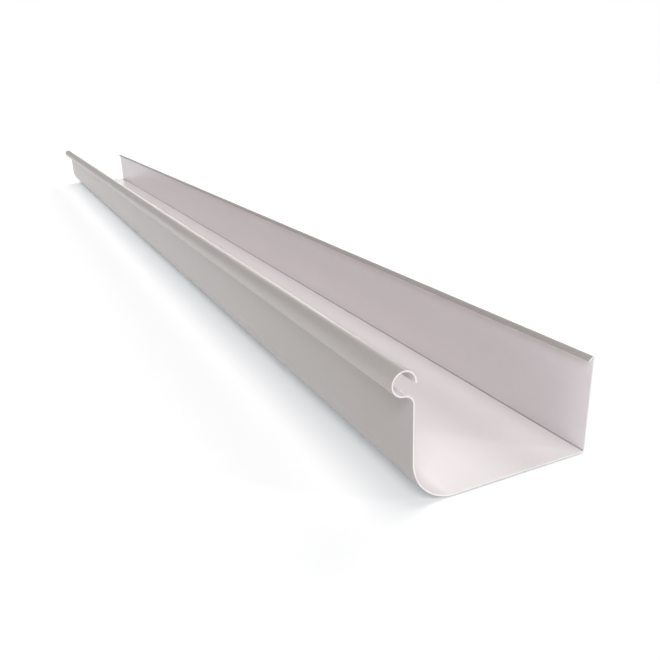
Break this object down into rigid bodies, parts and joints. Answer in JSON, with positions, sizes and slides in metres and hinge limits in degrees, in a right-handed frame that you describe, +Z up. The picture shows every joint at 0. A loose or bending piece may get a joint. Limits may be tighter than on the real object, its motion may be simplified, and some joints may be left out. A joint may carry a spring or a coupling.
{
  "type": "gutter section",
  "caption": "Roll-formed rain gutter section: open channel with a high front, a rolled bead on the front edge, a round lower front corner and a low back wall with a folded edge.",
  "frame": {"origin": "under the middle of the section's length and overall width, on the plane that the base stands on", "axes": "+X along the length, -Y out to the front (bead side), +Y to the wall or fascia behind the gutter, +Z up"},
  "size_m": [1.5, 0.125, 0.075],
  "materials": {
    "coated_sheet": "satin light warm grey coil coating, bare bright cut edges"
  },
  "bodies": {
    "root": {"gutter_section": "coated_sheet"}
  },
  "joints": []
}
